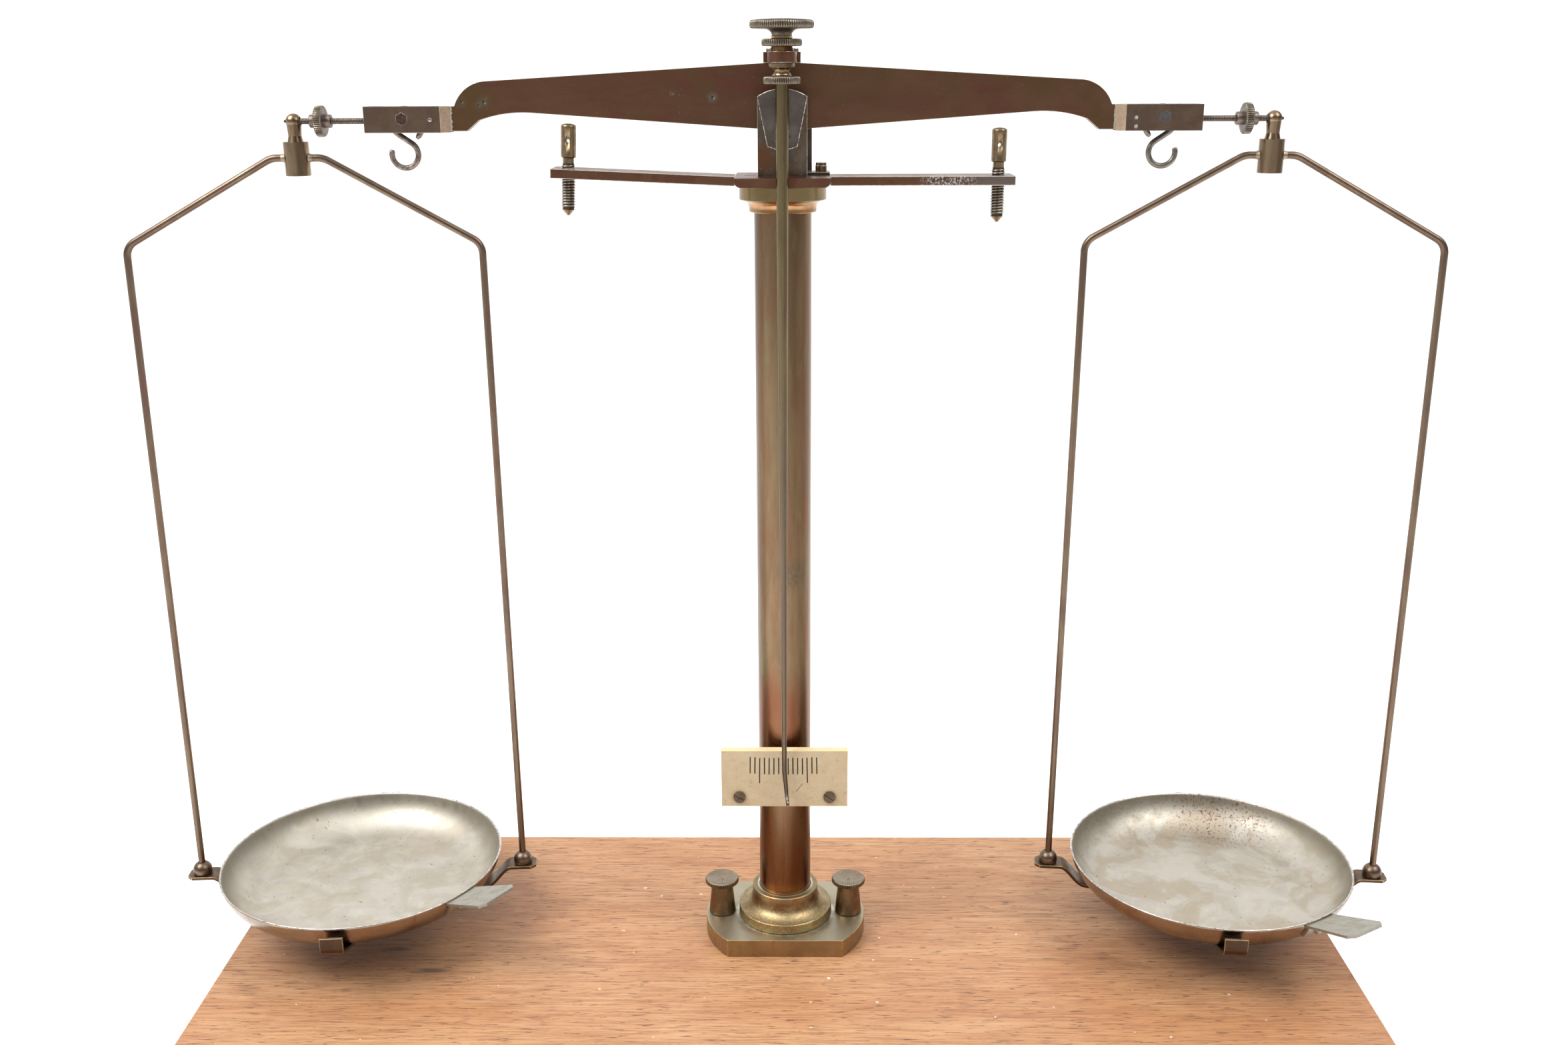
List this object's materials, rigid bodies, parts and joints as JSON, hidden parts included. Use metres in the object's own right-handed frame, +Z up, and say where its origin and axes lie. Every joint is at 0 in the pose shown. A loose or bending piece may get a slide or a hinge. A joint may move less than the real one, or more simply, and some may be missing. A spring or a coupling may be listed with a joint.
{
  "type": "equal arm balance scale",
  "caption": "Free-standing two-pan beam balance: column on a wooden base, knife-edge beam with pointer, hooks, balance nuts and hanging pans.",
  "frame": {"origin": "the point on the column's axis in the plane that the wooden base rests on", "axes": "+X along the beam to the right as seen from the front, +Y towards the back, +Z up"},
  "size_m": [0.6229, 0.229, 0.4756],
  "materials": {
    "timber": "open-grained, lightly oiled",
    "brass": "aged, brown",
    "bright_brass": "polished, warm",
    "column_brass": "aged tube with reddish streaks",
    "dark_brass": "dark brown patina",
    "knurled_brass": "knurled, dull",
    "wire_brass": "dull drawn wire",
    "steel": "grey-brown, dull",
    "hook_steel": "dark grey wire",
    "blued_steel": "dark glossy lacquer, bright edges",
    "nickel": "worn nickel plate with small stains",
    "bone": "cream, smooth"
  },
  "bodies": {
    "stand": {"wood_base": "timber", "thread_inserts": "brass", "base_plate": "brass", "foot_moulding": "bright_brass", "column_tube": "column_brass", "column_cap": "bright_brass", "tie_rod": "steel", "tie_rod_nut": "steel", "tie_rod_washer": "steel", "top_plate": "dark_brass", "cap_screws": "dark_brass", "rest_arm_left": "dark_brass", "rest_arm_right": "dark_brass", "bearing_fork": "dark_brass", "fork_bolt": "brass", "bearing_blocks": "steel", "cover_screws": "dark_brass", "index_bracket": "brass", "index_plate": "bone", "index_screws": "dark_brass"},
    "beam_assembly": {"beam": "dark_brass", "centre_knife": "steel", "end_block_left": "dark_brass", "end_block_right": "dark_brass", "block_pins": "bright_brass", "end_knife_left": "steel", "end_knife_right": "steel", "balance_rod_left": "steel", "balance_rod_right": "steel", "pointer_bracket": "dark_brass", "bracket_screws": "dark_brass", "pointer": "brass"},
    "front_cover": {"cover_front": "blued_steel"},
    "back_cover": {"cover_rear": "blued_steel"},
    "left_stop_screw": {"stop_screw_left": "brass"},
    "right_stop_screw": {"stop_screw_right": "brass"},
    "left_thumb_screw": {"thumb_screw_left": "brass"},
    "right_thumb_screw": {"thumb_screw_right": "brass"},
    "left_balance_nut": {"balance_nut_left": "knurled_brass"},
    "right_balance_nut": {"balance_nut_right": "knurled_brass"},
    "lower_nut": {"lower_lock_nut": "knurled_brass"},
    "upper_nut": {"upper_lock_nut": "knurled_brass"},
    "gravity_bob": {"gravity_nut": "knurled_brass"},
    "left_hook": {"s_hook_left": "hook_steel"},
    "right_hook": {"s_hook_right": "hook_steel"},
    "left_eye": {"hanger_eye_left": "brass"},
    "right_eye": {"hanger_eye_right": "brass"},
    "left_barrel": {"hanger_barrel_left": "brass"},
    "right_barrel": {"hanger_barrel_right": "brass"},
    "left_bail": {"bail_wire_left": "wire_brass", "foot_nuts_left": "wire_brass", "pan_cross_left": "wire_brass"},
    "right_bail": {"bail_wire_right": "wire_brass", "foot_nuts_right": "wire_brass", "pan_cross_right": "wire_brass"},
    "left_pan": {"pan_left": "nickel", "pan_tab_left": "nickel"},
    "right_pan": {"pan_right": "nickel", "pan_tab_right": "nickel"}
  },
  "joints": [
    {"name": "beam_tilt", "type": "hinge", "parent": "stand", "child": "beam_assembly", "pos_m": [0, 0, 0.437], "axis": [0, 1, 0], "range_deg": [-1.9, 3.3]},
    {"name": "front_cover_swing", "type": "hinge", "parent": "stand", "child": "front_cover", "pos_m": [0, -0.0127, 0.426], "axis": [0, 1, 0], "range_deg": [-100, 100]},
    {"name": "back_cover_swing", "type": "hinge", "parent": "stand", "child": "back_cover", "pos_m": [0, 0.0127, 0.426], "axis": [0, 1, 0], "range_deg": [-100, 100]},
    {"name": "left_stop_travel", "type": "slide", "parent": "stand", "child": "left_stop_screw", "axis": [0.0454, 0, 0.999], "range_m": [-0.003, 0]},
    {"name": "right_stop_travel", "type": "slide", "parent": "stand", "child": "right_stop_screw", "axis": [0, 0, 1], "range_m": [-0.0058, 0]},
    {"name": "left_thumb_screw_turn", "type": "hinge", "parent": "stand", "child": "left_thumb_screw", "pos_m": [-0.0332, 0, 0.0285], "axis": [0, 0, 1], "continuous": true},
    {"name": "left_balance_nut_travel", "type": "slide", "parent": "beam_assembly", "child": "left_balance_nut", "axis": [-1, 0, 0], "range_m": [-0.015, 0.0025]},
    {"name": "right_thumb_screw_turn", "type": "hinge", "parent": "stand", "child": "right_thumb_screw", "pos_m": [0.0332, 0, 0.0285], "axis": [0, 0, 1], "continuous": true},
    {"name": "right_balance_nut_travel", "type": "slide", "parent": "beam_assembly", "child": "right_balance_nut", "axis": [1, 0, 0], "range_m": [-0.015, 0.0025]},
    {"name": "lower_nut_turn", "type": "hinge", "parent": "beam_assembly", "child": "lower_nut", "pos_m": [0, -0.026, 0.453], "axis": [0, 0, 1], "continuous": true},
    {"name": "upper_nut_turn", "type": "hinge", "parent": "beam_assembly", "child": "upper_nut", "pos_m": [0, -0.026, 0.464], "axis": [0, 0, 1], "continuous": true},
    {"name": "gravity_bob_travel", "type": "slide", "parent": "beam_assembly", "child": "gravity_bob", "axis": [0, 0, 1], "range_m": [0, 0.004]},
    {"name": "left_hook_swing", "type": "hinge", "parent": "beam_assembly", "child": "left_hook", "pos_m": [-0.171, 0, 0.43675], "axis": [0, 1, 0], "range_deg": [-12, 12]},
    {"name": "left_eye_rock", "type": "hinge", "parent": "beam_assembly", "child": "left_eye", "pos_m": [-0.2215, 0, 0.433], "axis": [0, 1, 0], "range_deg": [-4, 4]},
    {"name": "left_barrel_turn", "type": "hinge", "parent": "left_eye", "child": "left_barrel", "pos_m": [-0.2215, 0, 0.423], "axis": [0, 0, 1], "continuous": true},
    {"name": "left_bail_swing", "type": "hinge", "parent": "left_barrel", "child": "left_bail", "pos_m": [-0.2215, 0, 0.4168], "axis": [0.9976, 0.0698, 0], "range_deg": [-12, 12]},
    {"name": "left_pan_lift", "type": "slide", "parent": "left_bail", "child": "left_pan", "axis": [0, 0, 1], "range_m": [0, 0.06]},
    {"name": "right_hook_swing", "type": "hinge", "parent": "beam_assembly", "child": "right_hook", "pos_m": [0.171, 0, 0.43675], "axis": [0, 1, 0], "range_deg": [-12, 12]},
    {"name": "right_eye_rock", "type": "hinge", "parent": "beam_assembly", "child": "right_eye", "pos_m": [0.2215, 0, 0.433], "axis": [0, 1, 0], "range_deg": [-4, 4]},
    {"name": "right_barrel_turn", "type": "hinge", "parent": "right_eye", "child": "right_barrel", "pos_m": [0.2215, 0, 0.423], "axis": [0, 0, 1], "continuous": true},
    {"name": "right_bail_swing", "type": "hinge", "parent": "right_barrel", "child": "right_bail", "pos_m": [0.2215, 0, 0.4168], "axis": [0.9962, -0.0872, 0], "range_deg": [-12, 12]},
    {"name": "right_pan_lift", "type": "slide", "parent": "right_bail", "child": "right_pan", "axis": [0, 0, 1], "range_m": [0, 0.06]}
  ],
  "couplings": [
    {"joint": "left_eye_rock", "follows": "beam_tilt", "ratio": -1},
    {"joint": "right_eye_rock", "follows": "beam_tilt", "ratio": -1}
  ]
}
